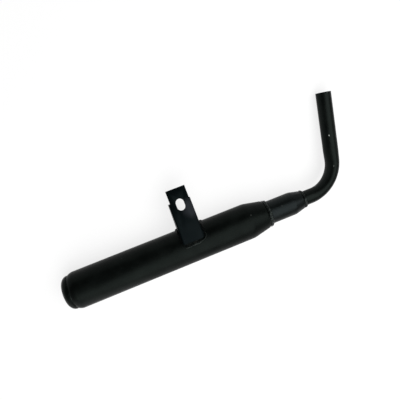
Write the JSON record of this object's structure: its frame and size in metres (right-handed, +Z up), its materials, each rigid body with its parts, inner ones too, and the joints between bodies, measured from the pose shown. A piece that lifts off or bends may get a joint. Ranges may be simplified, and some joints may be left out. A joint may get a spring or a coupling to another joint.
{
  "type": "racing exhaust system",
  "caption": "Racing exhaust: bent header pipe, stepped expansion tube, packed silencer with a perforated core and dished tail cap, and a slotted channel bracket welded to its side.",
  "frame": {"origin": "on the floor that the exhaust lies on, under the middle of its bounding box", "axes": "+X along the silencer's axis from its tail to the header, +Y to the side that the header's leg and the bracket point to, +Z up from the floor"},
  "size_m": [0.5172, 0.1878, 0.0599],
  "materials": {
    "black_paint": "satin",
    "painted_weld": "satin",
    "bare_steel": "satin",
    "steel_wool": "matte",
    "glass_fibre": "matte"
  },
  "bodies": {
    "root": {"header_pipe": "black_paint", "header_weld": "painted_weld", "expansion_tube": "black_paint", "expansion_weld": "painted_weld", "silencer_shell": "black_paint", "tail_cap": "black_paint", "tail_weld": "painted_weld", "bracket": "black_paint", "bracket_weld_front": "painted_weld", "bracket_weld_tail_side": "painted_weld", "bracket_weld_header_side": "painted_weld", "core_tube": "bare_steel", "core_sleeve": "bare_steel", "core_weld": "bare_steel", "sleeve_weld": "bare_steel", "rear_baffle": "bare_steel", "front_baffle": "bare_steel", "steel_wool_wrap": "steel_wool", "fibre_packing": "glass_fibre"}
  },
  "joints": []
}
